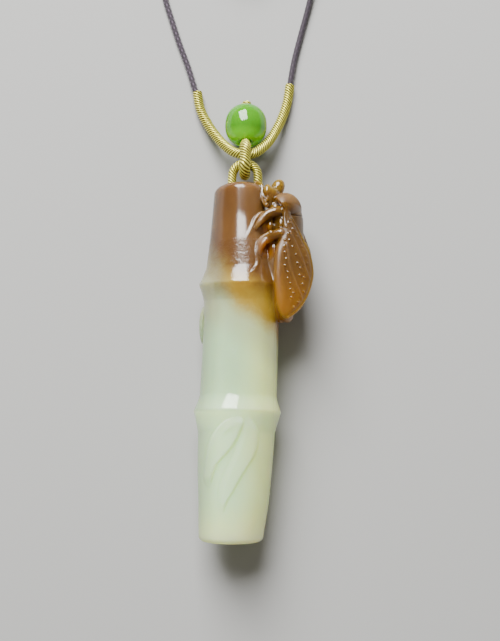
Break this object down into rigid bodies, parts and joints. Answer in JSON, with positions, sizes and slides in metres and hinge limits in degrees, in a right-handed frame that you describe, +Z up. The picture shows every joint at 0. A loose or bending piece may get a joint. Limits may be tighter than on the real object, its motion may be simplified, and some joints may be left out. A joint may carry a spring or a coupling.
{
  "type": "jade bamboo and cicada pendant",
  "caption": "Carved jade bamboo stem with a clinging cicada, on silk-wrapped links with a jade bead and a long braided neck cord wound in a tied coil.",
  "frame": {"origin": "on the flat spot at the back of the stem's lower node, on the surface the pendant lies on", "axes": "+Y along the stem towards the neck cord, +Z up out of the carved front, +X towards the side with the cicada"},
  "size_m": [0.029, 0.1213, 0.0142],
  "materials": {
    "jade": "polished",
    "green_jade": "polished",
    "silk": "wrapped thread",
    "cord": "braided"
  },
  "bodies": {
    "root": {"jade_carving": "jade", "jade_bead": "green_jade", "pendant_ring": "silk", "bead_link": "silk", "neck_sleeve": "silk", "neck_cord_left": "cord", "neck_cord_right": "cord", "neck_cord_coil": "cord", "coil_tie": "silk"}
  },
  "joints": []
}
